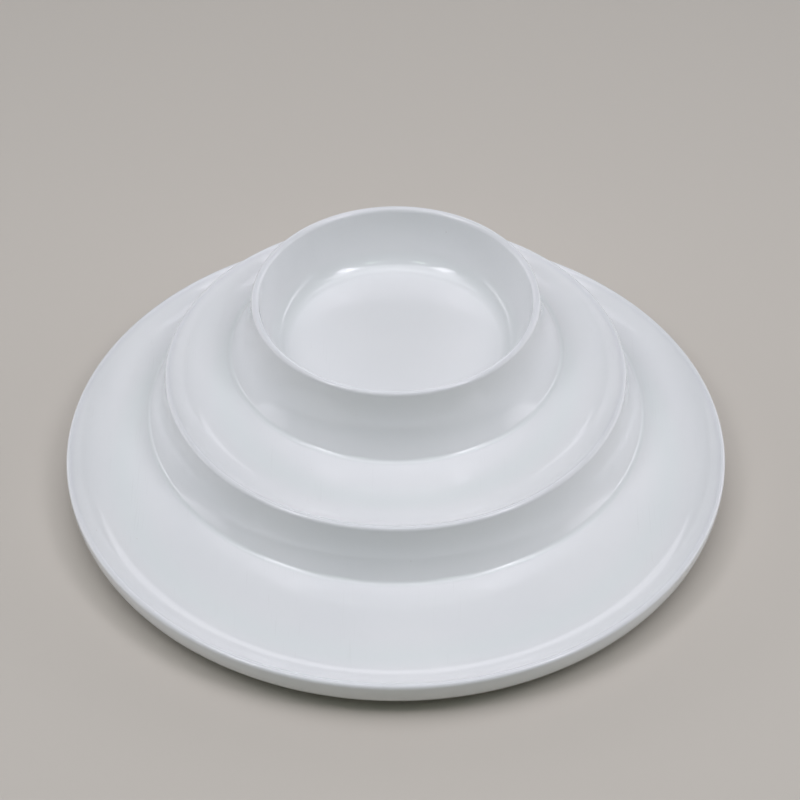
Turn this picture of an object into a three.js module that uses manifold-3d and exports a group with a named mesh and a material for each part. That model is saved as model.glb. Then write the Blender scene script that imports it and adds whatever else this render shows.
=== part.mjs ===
// A stepped serving platter in white glazed porcelain.
// A wide shallow platter carries a smaller dish, and that dish carries a small bowl.
// All three are round. Each upper dish stands off centre, close to the back rim of the one below,
// so two crescent floors are left open at the front.
// The dishes are cast one by one, set on each other with wet slip, and the seams are filled and
// smoothed before glazing. Sizes are millimetres, +Z is up and +Y is the back.
// The origin lies on the table under the centre of the platter.
import * as THREE from 'three';
import { mergeVertices } from 'three/addons/utils/BufferGeometryUtils.js';
import Module from 'manifold-3d';

// Foot ring
const FOOT_RADIUS = 106;
const FOOT_WIDTH = 9;
const FOOT_HEIGHT = 6;
const FOOT_CHAMFER = 1.2;

// Base platter
const PLATTER_RADIUS = 161;
const PLATTER_DEPTH = 8.5;
const PLATTER_WALL = 5;
const PLATTER_LIP_RUN = 17.5;
const PLATTER_HEEL = 8;

// Middle dish, with its skirt
const MIDDLE_RADIUS = 114;
const MIDDLE_DEPTH = 9;
const MIDDLE_WALL = 4.5;
const MIDDLE_LIP_RUN = 17.5;
const MIDDLE_HOLLOW = 13.5;
const MIDDLE_FLARE = 5;
const MIDDLE_BACK_INSET = 6.7;

// Top bowl, with its skirt
const TOP_RADIUS = 71.7;
const TOP_DEPTH = 28;
const TOP_WALL = 4.5;
const TOP_LEAN = 13.5;
const TOP_CORNER = 10;
const TOP_HOLLOW = 1.5;
const TOP_FLARE = 6.8;
const TOP_BACK_INSET = 11.6;

// Rims, seams and vents
const LIP_THICKNESS = 2.6;
const LIP_LEAN = 3;
const FILLET_RISE = 8;
const FILLET_RUN = 7.5;
const FILLET_EDGE = 0.4;
const SEAM_GAP = 0.3;
const TRIM_MARGIN = 4;
const VENT_RADIUS = 2.5;

// Facets
const SEGMENTS = 64;
const CURVE_STEPS = 6;
const LIP_STEPS = 4;
const VENT_SIDES = 16;
const MERGE_DISTANCE = 1e-4;

// Heights and axes that follow from the sizes above
const PLATTER_FLOOR = FOOT_HEIGHT + PLATTER_WALL;
const MIDDLE_FLOOR = PLATTER_FLOOR + MIDDLE_HOLLOW + MIDDLE_WALL;
const MIDDLE_CREST = MIDDLE_FLOOR + MIDDLE_DEPTH;
const TOP_FLOOR = MIDDLE_FLOOR + TOP_HOLLOW + TOP_WALL;
const TOP_CREST = TOP_FLOOR + TOP_DEPTH;
const MIDDLE_AXIS = PLATTER_RADIUS - MIDDLE_BACK_INSET - MIDDLE_RADIUS - MIDDLE_FLARE;
const TOP_AXIS = MIDDLE_AXIS + MIDDLE_RADIUS - TOP_BACK_INSET - TOP_RADIUS - TOP_FLARE;

const wasm = await Module();
wasm.setup();

const glaze = new THREE.MeshStandardMaterial({ color: 0xe4e7ea, roughness: 0.12, metalness: 0 });
const bareClay = new THREE.MeshStandardMaterial({ color: 0xd8d3c8, roughness: 0.85, metalness: 0 });

function at(radius, z) {
  return new THREE.Vector2(radius, z);
}

// A closed three.js geometry as a solid that can be cut.
function solidOf(geometry) {
  geometry.deleteAttribute('normal');
  geometry.deleteAttribute('uv');
  const merged = mergeVertices(geometry, MERGE_DISTANCE);
  const corners = merged.index.array;
  const triVerts = [];
  for (let i = 0; i < corners.length; i += 3) {
    const triangle = corners.slice(i, i + 3);
    if (new Set(triangle).size === 3) {
      triVerts.push(...triangle);
    }
  }
  const mesh = new wasm.Mesh({
    numProp: 3,
    vertProperties: new Float32Array(merged.attributes.position.array),
    triVerts: new Uint32Array(triVerts),
  });
  mesh.merge();
  return new wasm.Manifold(mesh);
}

// An outline of (radius, height) points, given over the top and back underneath, turned about an
// upright axis. A lathe takes it the other way round, for faces that point out.
function turned(outline, axisY) {
  const geometry = new THREE.LatheGeometry(outline.toReversed(), SEGMENTS);
  geometry.rotateX(Math.PI / 2);
  geometry.translate(0, axisY, 0);
  return solidOf(geometry);
}

function upright(radius, low, high, axisY) {
  const geometry = new THREE.CylinderGeometry(radius, radius, high - low, VENT_SIDES);
  geometry.rotateX(Math.PI / 2);
  geometry.translate(0, axisY, (low + high) / 2);
  return solidOf(geometry);
}

function piece(name, solid, material) {
  const bodies = solid.decompose().sort((a, b) => b.volume() - a.volume());
  const { vertProperties, triVerts } = bodies[0].getMesh();
  const geometry = new THREE.BufferGeometry();
  geometry.setAttribute('position', new THREE.BufferAttribute(vertProperties, 3));
  geometry.setIndex(new THREE.BufferAttribute(triVerts, 1));
  geometry.computeVertexNormals();
  const mesh = new THREE.Mesh(geometry, material);
  mesh.name = name;
  return mesh;
}

// The rounded edge of a rim, from the inside over the crest to the outside.
function lip(radius, crest) {
  const half = LIP_THICKNESS / 2;
  const points = [];
  for (let i = 0; i <= LIP_STEPS; i += 1) {
    const angle = Math.PI * (1 - i / LIP_STEPS);
    points.push(at(radius - half + half * Math.cos(angle), crest - half + half * Math.sin(angle)));
  }
  return points;
}

// The upper face of a shallow dish: a level floor that sweeps up into the rim.
function dishFace(radius, floor, depth, lipRun) {
  const rim = lip(radius, floor + depth);
  const sweep = new THREE.QuadraticBezierCurve(
    at(radius - lipRun, floor),
    at(rim[0].x - LIP_LEAN, floor),
    rim[0],
  );
  return [at(0, floor), ...sweep.getPoints(CURVE_STEPS).slice(0, -1), ...rim];
}

// The outside of a skirt: a straight wall that leans out from the rim down to its foot.
function skirtRadius(radius, flare, crest, foot, z) {
  const start = crest - LIP_THICKNESS / 2;
  return radius + flare * (start - z) / (start - foot);
}

const platterFace = dishFace(PLATTER_RADIUS, PLATTER_FLOOR, PLATTER_DEPTH, PLATTER_LIP_RUN);
const middleFace = dishFace(MIDDLE_RADIUS, MIDDLE_FLOOR, MIDDLE_DEPTH, MIDDLE_LIP_RUN);

function middleSkirt(z) {
  return skirtRadius(MIDDLE_RADIUS, MIDDLE_FLARE, MIDDLE_CREST, PLATTER_FLOOR, z);
}

function topSkirt(z) {
  return skirtRadius(TOP_RADIUS, TOP_FLARE, TOP_CREST, MIDDLE_FLOOR, z);
}

// All the space that a dish fills up to its upper face and one seam gap above it, and the space
// outside its rim. A skirt or fillet that stands on the dish is trimmed with this.
function bedOf(face, axisY) {
  const crest = face.reduce((high, point) => (point.y > high.y ? point : high));
  const covered = face.slice(0, face.indexOf(crest) + 1);
  const raised = covered.map((point) => at(point.x, point.y + SEAM_GAP));
  const outside = crest.x + FILLET_RUN + TRIM_MARGIN;
  const below = face[0].y - 2 * TRIM_MARGIN;
  return turned([...raised, at(outside, crest.y + SEAM_GAP), at(outside, below), at(0, below)], axisY);
}

const platterBed = bedOf(platterFace, 0);
const middleBed = bedOf(middleFace, MIDDLE_AXIS);

function footRing() {
  const outer = FOOT_RADIUS + FOOT_WIDTH / 2;
  const inner = FOOT_RADIUS - FOOT_WIDTH / 2;
  const outline = [
    at(inner, FOOT_HEIGHT),
    at(outer, FOOT_HEIGHT),
    at(outer, FOOT_CHAMFER),
    at(outer - FOOT_CHAMFER, 0),
    at(inner + FOOT_CHAMFER, 0),
    at(inner, FOOT_CHAMFER),
    at(inner, FOOT_HEIGHT),
  ];
  return piece('foot_ring', turned(outline, 0), bareClay);
}

function basePlatter() {
  const heel = [];
  for (let i = 0; i <= CURVE_STEPS; i += 1) {
    const angle = Math.PI / 2 * i / CURVE_STEPS;
    const radius = PLATTER_RADIUS - PLATTER_HEEL + PLATTER_HEEL * Math.cos(angle);
    heel.push(at(radius, FOOT_HEIGHT + PLATTER_HEEL - PLATTER_HEEL * Math.sin(angle)));
  }
  const body = turned([...platterFace, ...heel, at(0, FOOT_HEIGHT)], 0);
  const vent = upright(VENT_RADIUS, FOOT_HEIGHT - TRIM_MARGIN, PLATTER_FLOOR + TRIM_MARGIN, MIDDLE_AXIS);
  return piece('base_platter', body.subtract(vent), glaze);
}

function middleDish() {
  const ceiling = MIDDLE_FLOOR - MIDDLE_WALL;
  const foot = PLATTER_FLOOR - TRIM_MARGIN;
  const outline = [
    ...middleFace,
    at(middleSkirt(foot), foot),
    at(middleSkirt(foot) - MIDDLE_WALL, foot),
    at(middleSkirt(ceiling) - MIDDLE_WALL, ceiling),
    at(0, ceiling),
  ];
  const vent = upright(VENT_RADIUS, ceiling - TRIM_MARGIN, MIDDLE_FLOOR + TRIM_MARGIN, TOP_AXIS);
  const body = turned(outline, MIDDLE_AXIS).subtract(platterBed).subtract(vent);
  return piece('middle_dish', body, glaze);
}

function topBowl() {
  const rim = lip(TOP_RADIUS, TOP_CREST);
  const wallFoot = rim[0].x - TOP_LEAN;
  const wallRise = rim[0].y - TOP_FLOOR;
  const wallAt = (z) => wallFoot + TOP_LEAN * (z - TOP_FLOOR) / wallRise;
  const corner = new THREE.QuadraticBezierCurve(
    at(wallFoot - TOP_CORNER, TOP_FLOOR),
    at(wallFoot, TOP_FLOOR),
    at(wallAt(TOP_FLOOR + TOP_CORNER), TOP_FLOOR + TOP_CORNER),
  );
  // The hollow between the bowl and its skirt closes where their two back faces meet.
  const through = TOP_WALL * Math.hypot(1, TOP_LEAN / wallRise);
  const skirtSlope = (topSkirt(MIDDLE_FLOOR) - topSkirt(TOP_CREST)) / (TOP_CREST - MIDDLE_FLOOR);
  const wallSlope = TOP_LEAN / wallRise;
  const spread = topSkirt(TOP_FLOOR) - TOP_WALL - (wallFoot + through);
  const apex = TOP_FLOOR + spread / (wallSlope + skirtSlope);
  const ceiling = TOP_FLOOR - TOP_WALL;
  const foot = MIDDLE_FLOOR - TRIM_MARGIN;
  const outline = [
    at(0, TOP_FLOOR),
    ...corner.getPoints(CURVE_STEPS),
    ...rim,
    at(topSkirt(foot), foot),
    at(topSkirt(foot) - TOP_WALL, foot),
    at(topSkirt(apex) - TOP_WALL, apex),
    at(wallAt(TOP_FLOOR + TOP_CORNER / 2) + through, TOP_FLOOR + TOP_CORNER / 2),
    at(wallFoot - TOP_CORNER / 2, ceiling),
    at(0, ceiling),
  ];
  return piece('top_bowl', turned(outline, TOP_AXIS).subtract(middleBed), glaze);
}

// The band of slip that fills the corner between a skirt and the floor that it stands on.
function slipFillet(name, skirt, floor, axisY, bed) {
  const top = floor + FILLET_RISE;
  const foot = floor - TRIM_MARGIN;
  const reach = skirt(floor) + FILLET_RUN;
  const hollow = new THREE.QuadraticBezierCurve(
    at(skirt(top) + SEAM_GAP + FILLET_EDGE, top),
    at(skirt(floor) + SEAM_GAP + FILLET_EDGE, floor + SEAM_GAP + FILLET_EDGE),
    at(reach, floor + SEAM_GAP + FILLET_EDGE),
  );
  const outline = [
    at(skirt(top) + SEAM_GAP, top),
    ...hollow.getPoints(CURVE_STEPS),
    at(reach, foot),
    at(skirt(foot) + SEAM_GAP, foot),
    at(skirt(top) + SEAM_GAP, top),
  ];
  return piece(name, turned(outline, axisY).subtract(bed), glaze);
}

const platter = new THREE.Group();
platter.add(footRing());
platter.add(basePlatter());
platter.add(middleDish());
platter.add(slipFillet('lower_slip_fillet', middleSkirt, PLATTER_FLOOR, MIDDLE_AXIS, platterBed));
platter.add(topBowl());
platter.add(slipFillet('upper_slip_fillet', topSkirt, MIDDLE_FLOOR, TOP_AXIS, middleBed));

export default platter;
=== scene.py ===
import math

import bmesh
import bpy
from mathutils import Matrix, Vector


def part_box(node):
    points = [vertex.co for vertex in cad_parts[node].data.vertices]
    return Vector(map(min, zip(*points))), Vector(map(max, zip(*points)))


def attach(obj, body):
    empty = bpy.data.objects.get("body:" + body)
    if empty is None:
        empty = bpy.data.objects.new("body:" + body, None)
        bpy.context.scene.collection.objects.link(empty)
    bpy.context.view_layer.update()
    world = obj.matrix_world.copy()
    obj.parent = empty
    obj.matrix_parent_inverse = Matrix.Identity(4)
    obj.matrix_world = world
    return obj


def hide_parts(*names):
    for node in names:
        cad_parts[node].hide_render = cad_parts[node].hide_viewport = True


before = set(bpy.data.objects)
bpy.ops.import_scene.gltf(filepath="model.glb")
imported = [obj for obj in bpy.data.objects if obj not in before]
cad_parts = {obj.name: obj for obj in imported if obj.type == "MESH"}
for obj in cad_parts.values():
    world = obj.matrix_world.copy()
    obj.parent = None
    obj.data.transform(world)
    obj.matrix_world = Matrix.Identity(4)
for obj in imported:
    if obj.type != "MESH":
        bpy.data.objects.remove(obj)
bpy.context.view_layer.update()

# Foot ring
# The low ring that the platter stands on, of the same white clay, wiped free of glaze so that it
# does not stick to the kiln shelf. It is turned by itself and fixed under the platter with slip.
foot_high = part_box("foot_ring")[1]
foot_outer = foot_high.x
foot_height = foot_high.z
foot_width = 0.009
foot_edge = 0.0016
turn_steps = 288
corner_steps = 6
sharp_angle = math.radians(40)


def arc(centre, radius, start, end, steps):
    """Points of (radius, height) on a round corner, from one angle in degrees to another."""
    points = []
    for i in range(steps + 1):
        angle = math.radians(start + (end - start) * i / steps)
        points.append((centre[0] + radius * math.cos(angle), centre[1] + radius * math.sin(angle)))
    return points


def skin(name, columns, closed):
    """A solid from columns of points, each a little further round the axis than the one before. Columns
    that aren't closed start and end in a shared point on the axis."""
    shell = bmesh.new()
    ends = () if closed else (0, len(columns[0]) - 1)
    poles = {i: shell.verts.new(columns[0][i]) for i in ends}
    rows = [
        [poles[i] if i in poles else shell.verts.new(point) for i, point in enumerate(column)]
        for column in columns
    ]
    pairs = len(columns[0]) - (0 if closed else 1)
    for here, there in zip(rows, rows[1:] + rows[:1]):
        for i in range(pairs):
            j = (i + 1) % len(here)
            shell.faces.new(dict.fromkeys((here[i], here[j], there[j], there[i])))
    if shell.calc_volume(signed=True) < 0:
        bmesh.ops.reverse_faces(shell, faces=shell.faces)
    mesh = bpy.data.meshes.new(name)
    shell.to_mesh(mesh)
    shell.free()
    mesh.shade_smooth()
    mesh.set_sharp_from_angle(angle=sharp_angle)
    piece = bpy.data.objects.new(name, mesh)
    bpy.context.scene.collection.objects.link(piece)
    return piece


def turn(name, outline_at, axis_y, closed=False):
    """A piece turned about an upright axis. outline_at(angle) gives its (radius, height) points there."""
    columns = []
    for step in range(turn_steps):
        angle = 2 * math.pi * step / turn_steps
        columns.append([
            (radius * math.sin(angle), axis_y + radius * math.cos(angle), height)
            for radius, height in outline_at(angle)
        ])
    return skin(name, columns, closed)


foot_inner = foot_outer - foot_width
foot_outline = (
    [(foot_inner, foot_height), (foot_outer, foot_height)]
    + arc((foot_outer - foot_edge, foot_edge), foot_edge, 0, -90, corner_steps)
    + arc((foot_inner + foot_edge, foot_edge), foot_edge, -90, -180, corner_steps)
)
foot = turn("bare_foot_ring", lambda angle: foot_outline, 0.0, closed=True)

# A noise keeps mostly between these two values.
noise_low = 0.3
noise_high = 0.7


def new_material(name):
    """A material made of nodes: itself, its nodes, its links and its shader."""
    material = bpy.data.materials.new(name)
    material.use_nodes = True
    nodes = material.node_tree.nodes
    return material, nodes, material.node_tree.links, nodes["Principled BSDF"]


def add_math(nodes, links, operation, first, second):
    """Two values joined by an operation."""
    joined = nodes.new("ShaderNodeMath")
    joined.operation = operation
    links.new(first, joined.inputs[0])
    links.new(second, joined.inputs[1])
    return joined.outputs["Value"]


def add_noise(nodes, links, vector, scale, detail):
    """A soft noise in space."""
    noise = nodes.new("ShaderNodeTexNoise")
    noise.inputs["Scale"].default_value = scale
    noise.inputs["Detail"].default_value = detail
    links.new(vector, noise.inputs["Vector"])
    return noise.outputs["Fac"]


def add_range(nodes, links, value, start, end, low=0.0, high=1.0):
    """The value spread from start..end to low..high, and held there outside."""
    spread = nodes.new("ShaderNodeMapRange")
    for label, number in (("From Min", start), ("From Max", end), ("To Min", low), ("To Max", high)):
        spread.inputs[label].default_value = number
    links.new(value, spread.inputs["Value"])
    return spread.outputs["Result"]


def add_fade(nodes, links, mask, strength):
    """The mask with its full value lowered to a strength."""
    return add_range(nodes, links, mask, 0.0, 1.0, high=strength)


def add_tones(nodes, links, noise, dark, light):
    """A colour that drifts between two tones with a noise."""
    ramp = nodes.new("ShaderNodeValToRGB")
    for stop, place, tone in zip(ramp.color_ramp.elements, (noise_low, noise_high), (dark, light)):
        stop.position = place
        stop.color = tone
    links.new(noise, ramp.inputs["Fac"])
    return ramp.outputs["Color"]


def add_tint(nodes, links, colour, tint, mask):
    """The colour, turned towards a tint where the mask says so."""
    mix = nodes.new("ShaderNodeMix")
    mix.data_type = "RGBA"
    mix.inputs["B"].default_value = tint
    links.new(colour, mix.inputs["A"])
    links.new(mask, mix.inputs["Factor"])
    return mix.outputs["Result"]


def build_speck_group():
    """Round specks of iron in clay or glaze: a mask that is 1 in a speck, for a share of the cells."""
    group = bpy.data.node_groups.new("iron_specks", "ShaderNodeTree")
    for label, kind in (("Vector", "NodeSocketVector"), ("Scale", "NodeSocketFloat"),
                        ("Size", "NodeSocketFloat"), ("Share", "NodeSocketFloat")):
        group.interface.new_socket(label, in_out="INPUT", socket_type=kind)
    group.interface.new_socket("Mask", in_out="OUTPUT", socket_type="NodeSocketFloat")
    given = group.nodes.new("NodeGroupInput")
    made = group.nodes.new("NodeGroupOutput")
    cells = group.nodes.new("ShaderNodeTexVoronoi")
    group.links.new(given.outputs["Vector"], cells.inputs["Vector"])
    group.links.new(given.outputs["Scale"], cells.inputs["Scale"])
    near = group.nodes.new("ShaderNodeMapRange")
    near.interpolation_type = "SMOOTHSTEP"
    near.inputs["From Max"].default_value = 0.0
    group.links.new(cells.outputs["Distance"], near.inputs["Value"])
    group.links.new(given.outputs["Size"], near.inputs["From Min"])
    draw = group.nodes.new("ShaderNodeSeparateColor")
    group.links.new(cells.outputs["Color"], draw.inputs["Color"])
    chosen = add_math(group.nodes, group.links, "LESS_THAN", draw.outputs["Red"], given.outputs["Share"])
    mask = add_math(group.nodes, group.links, "MULTIPLY", near.outputs["Result"], chosen)
    group.links.new(mask, made.inputs["Mask"])
    return group


speck_group = build_speck_group()


def add_specks(nodes, links, vector, scale, size, share):
    """A mask of iron specks: cells to the metre, size within a cell, and the share of cells with a speck."""
    specks = nodes.new("ShaderNodeGroup")
    specks.node_tree = speck_group
    links.new(vector, specks.inputs["Vector"])
    for label, number in (("Scale", scale), ("Size", size), ("Share", share)):
        specks.inputs[label].default_value = number
    return specks.outputs["Mask"]


def add_bump(nodes, links, shader, height, distance):
    """A fine relief on a shader's surface, as deep as the distance."""
    bump = nodes.new("ShaderNodeBump")
    bump.inputs["Distance"].default_value = distance
    links.new(height, bump.inputs["Height"])
    links.new(bump.outputs["Normal"], shader.inputs["Normal"])


clay_dark = (0.52, 0.47, 0.40, 1)
clay_light = (0.70, 0.67, 0.61, 1)
clay_drift_scale = 26.0
clay_drift_detail = 3.0
clay_smooth = 0.72
clay_rough = 0.95
grain_scale = 900.0
grain_detail = 6.0
grain_relief = 0.00012
iron_colour = (0.22, 0.15, 0.10, 1)
iron_scale = 420.0
iron_size = 0.16
iron_share = 0.35
iron_strength = 0.55

clay, nodes, links, shader = new_material("bare_clay")
spot = nodes.new("ShaderNodeTexCoord").outputs["Object"]
clay_drift = add_noise(nodes, links, spot, clay_drift_scale, clay_drift_detail)
clay_colour = add_tones(nodes, links, clay_drift, clay_dark, clay_light)
iron = add_specks(nodes, links, spot, iron_scale, iron_size, iron_share)
iron_faint = add_fade(nodes, links, iron, iron_strength)
clay_colour = add_tint(nodes, links, clay_colour, iron_colour, iron_faint)
links.new(clay_colour, shader.inputs["Base Color"])
grain = add_noise(nodes, links, spot, grain_scale, grain_detail)
clay_dulling = add_range(nodes, links, grain, noise_low, noise_high, clay_smooth, clay_rough)
links.new(clay_dulling, shader.inputs["Roughness"])
add_bump(nodes, links, shader, grain, grain_relief)

foot.data.materials.append(clay)
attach(foot, "root")
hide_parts("foot_ring")

# Base platter
# The wide shallow platter of white porcelain, cast in plaster and turned true, with a level floor that
# sweeps up into a thin rounded rim. It is glazed all over except for the foot ring.
platter_low, platter_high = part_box("base_platter")
platter_radius = platter_high.x
platter_crest = platter_high.z
platter_underside = platter_low.z
platter_floor = 0.011
platter_heel = 0.0055
lip_round = 0.0016
lip_slope = 44.0
lip_bend = 3
sweep_steps = 36
lip_steps = 12
heel_steps = 22
floor_ring_gap = 0.012
sag_depth = 0.0003
sag_sides = 2
sag_turn = 0.7


def level(radius, height):
    """Points from the axis out to a radius on a level face."""
    rings = math.ceil(radius / floor_ring_gap)
    return [(radius * i / rings, height) for i in range(rings)]


def floor_edge(radius, floor, crest):
    """The radius where a dish's level floor ends and the sweep up to its lip begins."""
    slope = math.radians(lip_slope)
    rise = crest - floor - lip_round * (1 - math.cos(slope))
    return radius - lip_round * (1 + math.sin(slope)) - lip_bend * rise / math.tan(slope)


def dish_face(radius, floor, crest):
    """The upper face of a dish: from its axis over the floor, up to the crest and round to the outside.
    The sweep starts gently and is steepest under the lip."""
    edge = floor_edge(radius, floor, crest)
    lip = arc((radius - lip_round, crest - lip_round), lip_round, 90 + lip_slope, 0, lip_steps)
    run, rise = lip[0][0] - edge, lip[0][1] - floor
    shares = [i / sweep_steps for i in range(sweep_steps)]
    return level(edge, floor) + [(edge + run * u, floor + rise * u ** lip_bend) for u in shares] + lip


def sag(piece):
    """The slight settling of the whole ware in the kiln, deepest at two opposite sides of its rim."""
    for vertex in piece.data.vertices:
        point = vertex.co
        reach = math.hypot(point.x, point.y) / platter_radius
        around = math.atan2(point.y, point.x)
        point.z -= sag_depth * reach ** 2 * (0.5 + 0.5 * math.cos(sag_sides * around + sag_turn))


platter_face = dish_face(platter_radius, platter_floor, platter_crest)
edge_start = platter_face[-1][1]
edge_drop = edge_start - platter_underside
rolled_edge = [
    (platter_radius - platter_heel + platter_heel * across, edge_start + edge_drop * down)
    for across, down in arc((0.0, 0.0), 1.0, 0, -90, heel_steps)
]
platter_outline = (
    platter_face
    + rolled_edge[1:]
    + level(platter_radius - platter_heel, platter_underside)[::-1]
)
platter = turn("cast_platter", lambda angle: platter_outline, 0.0)

# The vent opens into the hollow under the middle dish, on that dish's own axis.
vent_radius = 0.0025
vent_sides = 32
vent_reach = 0.1
middle_low, middle_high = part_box("middle_dish")
middle_axis = middle_low.y + middle_high.x


def pierce(piece, spot, radius):
    """A round vent cut straight through a piece at a spot (x, y), so that air can leave a closed hollow."""
    drill = bmesh.new()
    bmesh.ops.create_cone(
        drill, cap_ends=True, segments=vent_sides, radius1=radius, radius2=radius, depth=vent_reach)
    bmesh.ops.translate(drill, verts=drill.verts, vec=(spot[0], spot[1], 0.0))
    cutter_mesh = bpy.data.meshes.new("vent_drill")
    drill.to_mesh(cutter_mesh)
    drill.free()
    cutter = bpy.data.objects.new("vent_drill", cutter_mesh)
    bpy.context.scene.collection.objects.link(cutter)
    cut = piece.modifiers.new("vent", "BOOLEAN")
    cut.object = cutter
    cut.solver = "EXACT"
    evaluated = piece.evaluated_get(bpy.context.evaluated_depsgraph_get())
    pierced = bpy.data.meshes.new_from_object(evaluated)
    piece.modifiers.clear()
    piece.data = pierced
    pierced.shade_smooth()
    pierced.set_sharp_from_angle(angle=sharp_angle)
    bpy.data.objects.remove(cutter)
    bpy.data.meshes.remove(cutter_mesh)


pierce(platter, (0.0, middle_axis), vent_radius)

# The depth of the glaze runs from 0, drained off, to 1, pooled.
even_depth = 0.5
rim_drain = 0.0034
hollow_pool = 0.011


def hump(distance, reach):
    """1 at no distance, falling smoothly to 0 at the reach."""
    return max(0.0, 1.0 - (distance / reach) ** 2) ** 2


def mark_glaze(piece, axis_y, rim, hollow):
    """How deep the glaze lies: it drains off the rim and pools in the hollow, each a (radius, height)."""
    depth = piece.data.attributes.new("glaze_depth", "FLOAT", "POINT")
    for vertex, mark in zip(piece.data.vertices, depth.data):
        x, y, z = vertex.co
        radius = math.hypot(x, y - axis_y)
        thin = hump(math.hypot(radius - rim[0], z - rim[1]), rim_drain)
        pool = hump(math.hypot(radius - hollow[0], z - hollow[1]), hollow_pool)
        mark.value = even_depth * (1 + pool - thin)


mark_glaze(
    platter, 0.0,
    (platter_radius - lip_round, platter_crest),
    (floor_edge(platter_radius, platter_floor, platter_crest), platter_floor),
)

glaze_dark = (0.795, 0.805, 0.815, 1)
glaze_light = (0.83, 0.835, 0.84, 1)
glaze_drift_scale = 14.0
glaze_drift_detail = 4.0
glaze_smooth = 0.07
glaze_rough = 0.11
glaze_ior = 1.62
pooled_colour = (0.77, 0.82, 0.81, 1)
pooled_strength = 0.4
drained_colour = (0.75, 0.758, 0.78, 1)
drained_strength = 0.75
ripple_scale = 95.0
ripple_detail = 1.0
ripple_relief = 0.00003
rub_colour = (0.45, 0.44, 0.42, 1)
rub_strength = 0.06
rub_dulling = 0.10
rub_lays = ((24.0, 0.02), (97.0, 0.03))
rub_line_scale = 1600.0
rub_line_detail = 0.0
rub_line_span = (0.70, 0.80)
rub_place_scale = 55.0
rub_place_detail = 1.0
rub_place_span = (0.55, 0.68)
speck_colour = (0.34, 0.24, 0.15, 1)
speck_scale = 62.0
speck_size = 0.024
speck_share = 0.6
speck_strength = 0.5


def add_rub(nodes, links, vector, turned, stretch):
    """Fine rub lines that lie one way, at an angle in degrees, and only in some places."""
    lay = nodes.new("ShaderNodeMapping")
    lay.inputs["Rotation"].default_value = (0.0, 0.0, math.radians(turned))
    lay.inputs["Scale"].default_value = (1.0, stretch, 1.0)
    links.new(vector, lay.inputs["Vector"])
    lines = add_noise(nodes, links, lay.outputs["Vector"], rub_line_scale, rub_line_detail)
    places = add_noise(nodes, links, lay.outputs["Vector"], rub_place_scale, rub_place_detail)
    shown_lines = add_range(nodes, links, lines, *rub_line_span)
    shown_places = add_range(nodes, links, places, *rub_place_span)
    return add_math(nodes, links, "MULTIPLY", shown_lines, shown_places)


glaze, nodes, links, shader = new_material("white_glaze")
spot = nodes.new("ShaderNodeTexCoord").outputs["Object"]
depth_node = nodes.new("ShaderNodeAttribute")
depth_node.attribute_name = "glaze_depth"
depth = depth_node.outputs["Fac"]
glaze_drift = add_noise(nodes, links, spot, glaze_drift_scale, glaze_drift_detail)
glaze_colour = add_tones(nodes, links, glaze_drift, glaze_dark, glaze_light)
pooled = add_range(nodes, links, depth, even_depth, 1.0, high=pooled_strength)
glaze_colour = add_tint(nodes, links, glaze_colour, pooled_colour, pooled)
drained = add_range(nodes, links, depth, even_depth, 0.0, high=drained_strength)
glaze_colour = add_tint(nodes, links, glaze_colour, drained_colour, drained)
long_rub, cross_rub = [add_rub(nodes, links, spot, turned, stretch) for turned, stretch in rub_lays]
rub = add_math(nodes, links, "MAXIMUM", long_rub, cross_rub)
rub_faint = add_fade(nodes, links, rub, rub_strength)
glaze_colour = add_tint(nodes, links, glaze_colour, rub_colour, rub_faint)
kiln_specks = add_specks(nodes, links, spot, speck_scale, speck_size, speck_share)
specks_faint = add_fade(nodes, links, kiln_specks, speck_strength)
glaze_colour = add_tint(nodes, links, glaze_colour, speck_colour, specks_faint)
links.new(glaze_colour, shader.inputs["Base Color"])
drift_dulling = add_range(nodes, links, glaze_drift, noise_low, noise_high, glaze_smooth, glaze_rough)
glaze_dulling = add_math(nodes, links, "ADD", drift_dulling, add_fade(nodes, links, rub, rub_dulling))
links.new(glaze_dulling, shader.inputs["Roughness"])
shader.inputs["IOR"].default_value = glaze_ior
ripple = add_noise(nodes, links, spot, ripple_scale, ripple_detail)
add_bump(nodes, links, shader, ripple, ripple_relief)

sag(platter)
platter.data.materials.append(glaze)
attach(platter, "root")
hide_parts("base_platter")

# Middle dish
# The smaller dish with a skirt that leans out down to the platter, cast hollow in one piece of porcelain.
# It is set on the platter with slip, off centre, so that its skirt nearly meets the platter's back rim.
middle_crest = middle_high.z
middle_flare = 0.005
middle_radius = middle_high.x - middle_flare
middle_floor = 0.029
middle_wall = 0.0045
middle_spread = 0.0093
skirt_steps = 64
skirt_straight = 0.12
skirt_bend = 2.5
skirt_search_steps = 30


def face_top(face):
    """The height of an upper face's crest."""
    return max(height for _, height in face)


def height_on(face, radius):
    """The height of an upper face at a radius from its axis, level with the crest beyond it."""
    for (r0, z0), (r1, z1) in zip(face, face[1:]):
        if r1 <= r0:
            return z0
        if radius <= r1:
            return z0 + (z1 - z0) * (radius - r0) / (r1 - r0)
    return face[-1][1]


def skirt_line(radius, spread, crest, floor):
    """The outside of a skirt, steep under its rim and spreading towards its foot, as a function that
    gives its radius at a height."""
    start = crest - lip_round

    def radius_at(height):
        down = max(0.0, (start - height) / (start - floor))
        return radius + spread * (skirt_straight * down + (1 - skirt_straight) * down ** skirt_bend)

    return radius_at


def skirt_foot(skirt, angle, axis_y, face, face_axis, floor):
    """The height where a skirt meets the face that it stands on, at an angle about its own axis."""
    low, high = floor, face_top(face)
    for _ in range(skirt_search_steps):
        height = (low + high) / 2
        radius = skirt(height)
        across = radius * math.sin(angle)
        along = axis_y - face_axis + radius * math.cos(angle)
        if height < height_on(face, math.hypot(across, along)):
            low = height
        else:
            high = height
    return high


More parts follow.
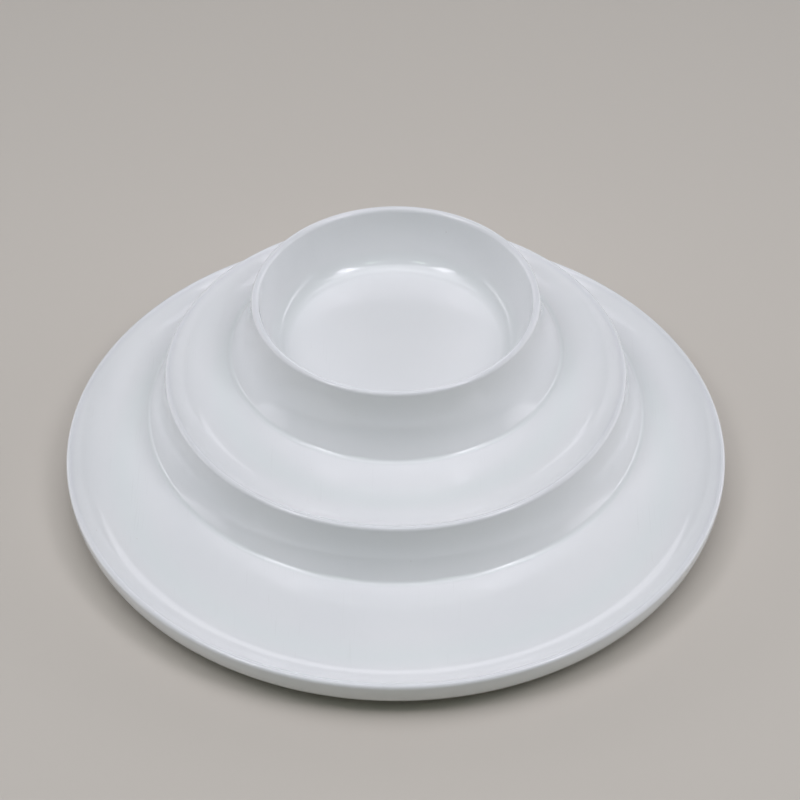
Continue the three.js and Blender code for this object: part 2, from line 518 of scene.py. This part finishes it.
def down_skirt(skirt, start, end):
    """Points down the outside of a skirt, from just below one height to another."""
    heights = [start + (end - start) * i / skirt_steps for i in range(1, skirt_steps + 1)]
    return [(skirt(height), height) for height in heights]


middle_face = dish_face(middle_radius, middle_floor, middle_crest)
middle_skirt = skirt_line(middle_radius, middle_spread, middle_crest, platter_floor)
middle_ceiling = middle_floor - middle_wall


def middle_outline(angle):
    """The section at an angle: over the face, down the skirt to the platter, and back up inside it."""
    foot_z = skirt_foot(middle_skirt, angle, middle_axis, platter_face, 0.0, platter_floor)
    inside = middle_skirt(middle_ceiling) - middle_wall
    return (
        middle_face
        + down_skirt(middle_skirt, middle_face[-1][1], foot_z)
        + [(middle_skirt(foot_z) - middle_wall, foot_z), (inside, middle_ceiling)]
        + level(inside, middle_ceiling)[::-1]
    )


middle = turn("cast_middle_dish", middle_outline, middle_axis)
mark_glaze(
    middle, middle_axis,
    (middle_radius - lip_round, middle_crest),
    (floor_edge(middle_radius, middle_floor, middle_crest), middle_floor),
)
sag(middle)
middle.data.materials.append(glaze)
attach(middle, "root")
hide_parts("middle_dish")

# Lower seam
# The band of porcelain slip that fills the corner between the skirt and the platter. It is run in wet,
# wiped to an even hollow with a finger or a sponge, and the glaze runs over it without a break.
seam_hollow = 0.0045
seam_share = 0.6
seam_bed = 0.000015
seam_arc_steps = 30
seam_search_steps = 40
slope_step = 1e-5
up = Vector((0.0, 0.0, 1.0))


def nearest_on(face, radius, height):
    """The nearest point of an upper face to a point above it, and the distance to it."""
    nearest, least = None, math.inf
    for (r0, z0), (r1, z1) in zip(face, face[1:]):
        run, rise = r1 - r0, z1 - z0
        t = ((radius - r0) * run + (height - z0) * rise) / (run * run + rise * rise)
        t = min(1.0, max(0.0, t))
        point = (r0 + t * run, z0 + t * rise)
        distance = math.hypot(radius - point[0], height - point[1])
        if distance < least:
            nearest, least = point, distance
    return nearest, least


def settle_ball(ball, skirt, outward, offset, crest, face, floor):
    """Where a ball of a radius comes to rest between a skirt and the face below it: its centre, and the
    directions from there to the skirt and to the face."""

    def wall_normal(height):
        return (outward + up * (skirt(height - slope_step) - skirt(height)) / slope_step).normalized()

    def centre_at(height):
        return offset + outward * skirt(height) + up * height + wall_normal(height) * ball

    low, high = floor - ball, crest
    for _ in range(seam_search_steps):
        height = (low + high) / 2
        centre = centre_at(height)
        touch, distance = nearest_on(face, math.hypot(centre.x, centre.y), centre.z)
        if distance > ball and centre.z > touch[1]:
            high = height
        else:
            low = height
    centre = centre_at(high)
    touch, _ = nearest_on(face, math.hypot(centre.x, centre.y), centre.z)
    flat = Vector((centre.x, centre.y, 0.0)).normalized()
    to_face = (flat * touch[0] + up * touch[1] - centre).normalized()
    return centre, -wall_normal(high), to_face


def smooth_hollow(mesh, hollow_normals, count):
    """A seam's hollow shaded by the ball's own normals, so that it runs on into the skirt and the face. The
    last of the count points in each column is the buried corner, whose faces keep their own normals."""
    loop_normals = [Vector((0.0, 0.0, 0.0))] * len(mesh.loops)
    for polygon in mesh.polygons:
        if any(vertex % count == count - 1 for vertex in polygon.vertices):
            continue
        for loop in polygon.loop_indices:
            vertex = mesh.loops[loop].vertex_index
            loop_normals[loop] = hollow_normals[vertex // count][vertex % count]
    mesh.normals_split_custom_set(loop_normals)


def wiped_seam(name, skirt, axis_y, crest, face, face_axis, floor, rim_radius):
    """The hollow that a ball leaves as it rolls round between a skirt and the face that it stands on. The
    ball is smaller where the rim leaves less room, and both edges are bedded a hair deep."""
    columns = []
    hollow_normals = []
    offset = Vector((0.0, axis_y - face_axis, 0.0))
    for step in range(turn_steps):
        angle = 2 * math.pi * step / turn_steps
        outward = Vector((math.sin(angle), math.cos(angle), 0.0))
        along = offset.dot(outward)
        reach = math.sqrt(rim_radius ** 2 - offset.length_squared + along ** 2) - along
        room = reach - skirt((floor + face_top(face)) / 2)
        ball = seam_hollow * math.tanh(seam_share * room / seam_hollow)
        centre, to_wall, to_face = settle_ball(ball, skirt, outward, offset, crest, face, floor)
        bedded = math.acos(1 - seam_bed / ball) / to_wall.angle(to_face)
        column = []
        normals = []
        for i in range(seam_arc_steps + 1):
            share = i / seam_arc_steps
            shown = min(1.0, max(0.0, (share - bedded) / (1 - 2 * bedded)))
            column.append(centre + to_wall.slerp(to_face, share) * (ball + seam_bed) - offset)
            normals.append(-to_wall.slerp(to_face, shown))
        foot_z = skirt_foot(skirt, angle, axis_y, face, face_axis, floor)
        column.append(outward * skirt(foot_z) + up * foot_z)
        columns.append([point + Vector((0.0, axis_y, 0.0)) for point in column])
        hollow_normals.append(normals)

    piece = skin(name, columns, closed=True)
    count = len(columns[0])
    smooth_hollow(piece.data, hollow_normals, count)
    depth = piece.data.attributes.new("glaze_depth", "FLOAT", "POINT")
    for i, mark in enumerate(depth.data):
        share = min(1.0, i % count / seam_arc_steps)
        mark.value = even_depth + (1 - even_depth) * math.sin(math.pi * share)
    return piece


lower_seam = wiped_seam(
    "wiped_lower_seam", middle_skirt, middle_axis, middle_crest,
    platter_face, 0.0, platter_floor, platter_radius - lip_round,
)
sag(lower_seam)
lower_seam.data.materials.append(glaze)
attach(lower_seam, "root")
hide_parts("lower_slip_fillet")

# Top bowl
# The small deep bowl for a dip, cast double walled with its own leaning skirt. It is set on the middle
# dish with slip in the same way, close to that dish's back rim.
bowl_low, bowl_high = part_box("top_bowl")
bowl_axis = bowl_low.y + bowl_high.x
bowl_crest = bowl_high.z
bowl_flare = 0.0068
bowl_radius = bowl_high.x - bowl_flare
bowl_floor = 0.0325
bowl_base = 0.003
bowl_wall = 0.0045
bowl_spread = 0.0115
bowl_floor_edge = 0.0525
bowl_floor_pull = 0.0075
bowl_rim_pull = 0.020
bowl_rim_lean = 6.0
bowl_rim_round = 0.0022
bowl_inside_steps = 44


def bow(start, first, second, end, steps):
    """Points on a curve that leaves start towards first and arrives at end from second."""
    points = []
    for i in range(steps + 1):
        t = i / steps
        weights = ((1 - t) ** 3, 3 * t * (1 - t) ** 2, 3 * t ** 2 * (1 - t), t ** 3)
        pulls = (start, first, second, end)
        points.append(tuple(sum(w * pull[axis] for w, pull in zip(weights, pulls)) for axis in (0, 1)))
    return points


bowl_top = bowl_radius - lip_round
bowl_rim = (
    arc((bowl_top, bowl_crest - bowl_rim_round), bowl_rim_round, 180 - bowl_rim_lean, 90, lip_steps)[:-1]
    + arc((bowl_top, bowl_crest - lip_round), lip_round, 90, 0, lip_steps)
)
bowl_inside = bow(
    (bowl_floor_edge, bowl_floor),
    (bowl_floor_edge + bowl_floor_pull, bowl_floor),
    (bowl_rim[0][0] - bowl_rim_pull * math.sin(math.radians(bowl_rim_lean)),
     bowl_rim[0][1] - bowl_rim_pull * math.cos(math.radians(bowl_rim_lean))),
    bowl_rim[0],
    bowl_inside_steps,
)
bowl_skirt = skirt_line(bowl_radius, bowl_spread, bowl_crest, middle_floor)
bowl_ceiling = bowl_floor - bowl_base


def bowl_outline(angle):
    """The section at an angle: over the floor and the rim, down the skirt, and back up inside it."""
    foot_z = skirt_foot(bowl_skirt, angle, bowl_axis, middle_face, middle_axis, middle_floor)
    inner_foot = bowl_skirt(foot_z) - bowl_wall
    return (
        level(bowl_floor_edge, bowl_floor)
        + bowl_inside[:-1]
        + bowl_rim
        + down_skirt(bowl_skirt, bowl_rim[-1][1], foot_z)
        + [(inner_foot, foot_z), (inner_foot - bowl_wall, bowl_floor), (bowl_floor_edge, bowl_ceiling)]
        + level(bowl_floor_edge, bowl_ceiling)[::-1]
    )


bowl = turn("cast_dip_bowl", bowl_outline, bowl_axis)
mark_glaze(
    bowl, bowl_axis,
    (bowl_radius - lip_round, bowl_crest),
    (bowl_floor_edge + bowl_floor_pull, bowl_floor),
)
sag(bowl)
bowl.data.materials.append(glaze)
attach(bowl, "root")
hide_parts("top_bowl")

# Upper seam
# The band of slip in the corner between the bowl's skirt and the middle dish, run in and wiped in the
# same way as the lower one, under the same glaze.
upper_seam = wiped_seam(
    "wiped_upper_seam", bowl_skirt, bowl_axis, bowl_crest,
    middle_face, middle_axis, middle_floor, middle_radius - lip_round,
)
sag(upper_seam)
upper_seam.data.materials.append(glaze)
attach(upper_seam, "root")
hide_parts("upper_slip_fillet")

# Studio
# A plain pale table under soft boxes: a large one overhead and a low panel at each side, all three with a
# fabric grid that narrows them, smaller ones at the sides, in front and behind, and a weak even fill.
table_size = 8.0
table_colour = (0.57, 0.53, 0.475, 1)
table_roughness = 0.8
half_table = table_size / 2
table_mesh = bpy.data.meshes.new("table")
table_mesh.from_pydata(
    [(-half_table, -half_table, 0), (half_table, -half_table, 0),
     (half_table, half_table, 0), (-half_table, half_table, 0)],
    [], [(0, 1, 2, 3)],
)
table = bpy.data.objects.new("table", table_mesh)
bpy.context.scene.collection.objects.link(table)
pale_table, _, _, shader = new_material("pale_table")
shader.inputs["Base Color"].default_value = table_colour
shader.inputs["Roughness"].default_value = table_roughness
table_mesh.materials.append(pale_table)

cool_white = (0.945, 0.92, 1.0)
green_white = (0.84, 1.0, 0.88)
no_grid = math.radians(180)
wide_grid = math.radians(106)
close_grid = math.radians(84)
room_colour = (0.70, 0.96, 0.80, 1)
room_strength = 0.10


def hang_softbox(name, spot, size, power, colour=cool_white, spread=no_grid):
    """A flat rectangular light at a spot, facing the middle of the ware."""
    lamp = bpy.data.lights.new(name, "AREA")
    lamp.shape = "RECTANGLE"
    lamp.size, lamp.size_y = size
    lamp.energy = power
    lamp.color = colour
    lamp.spread = spread
    softbox = bpy.data.objects.new(name, lamp)
    softbox.location = spot
    softbox.rotation_euler = Vector(spot).to_track_quat("Z", "Y").to_euler()
    bpy.context.scene.collection.objects.link(softbox)


def hang_pair(name, spot, size, powers, colour=cool_white, spread=no_grid):
    """Two like soft boxes, one at each side. The spot and the second of the powers are the right one's."""
    across, along, height = spot
    for side, place, power in zip(("left", "right"), (-across, across), powers):
        hang_softbox(f"{side}_{name}", (place, along, height), size, power, colour, spread)


hang_pair("softbox", spot=(0.662, -0.382, 1.014), size=(0.22, 0.42), powers=(1.25, 1.5))
hang_pair("high_softbox", spot=(0.6, -0.2, 1.1), size=(0.5, 0.4), powers=(1.4, 1.5))
hang_pair("low_panel", spot=(1.5, 0.6, 0.38), size=(2.6, 0.6), powers=(2.6, 3.0), spread=close_grid)
hang_pair(
    "front_softbox", spot=(0.46, -0.92, 1.24), size=(0.22, 0.14), powers=(0.55, 0.55), colour=green_white)
hang_softbox("top_softbox", spot=(0.0, 0.05, 1.4), size=(1.6, 1.2), power=4.1, spread=wide_grid)
hang_softbox("back_softbox", spot=(0.0, 2.0, 0.62), size=(1.0, 1.2), power=4.6)

world = bpy.data.worlds.new("room")
bpy.context.scene.world = world
world.use_nodes = True
room_light = world.node_tree.nodes["Background"]
room_light.inputs["Color"].default_value = room_colour
room_light.inputs["Strength"].default_value = room_strength

# Camera
# It looks down at the ware from the front, with the photograph's lens and tilt, and stands far enough
# away for the weak perspective of the rims.
camera_pitch = math.radians(42.69)
camera_distance = 1.507
camera_target = Vector((0.00206, 0.0, 0.048))
camera_lens = 140.2
camera_sensor = 36.0
camera_data = bpy.data.cameras.new("camera")
camera_data.sensor_width = camera_sensor
camera_data.lens = camera_lens
camera = bpy.data.objects.new("camera", camera_data)
bpy.context.scene.collection.objects.link(camera)
view = Vector((0.0, math.cos(camera_pitch), -math.sin(camera_pitch)))
camera.location = camera_target - view * camera_distance
camera.rotation_euler = view.to_track_quat("-Z", "Y").to_euler()
bpy.context.scene.camera = camera
bpy.context.scene.view_settings.view_transform = "Standard"
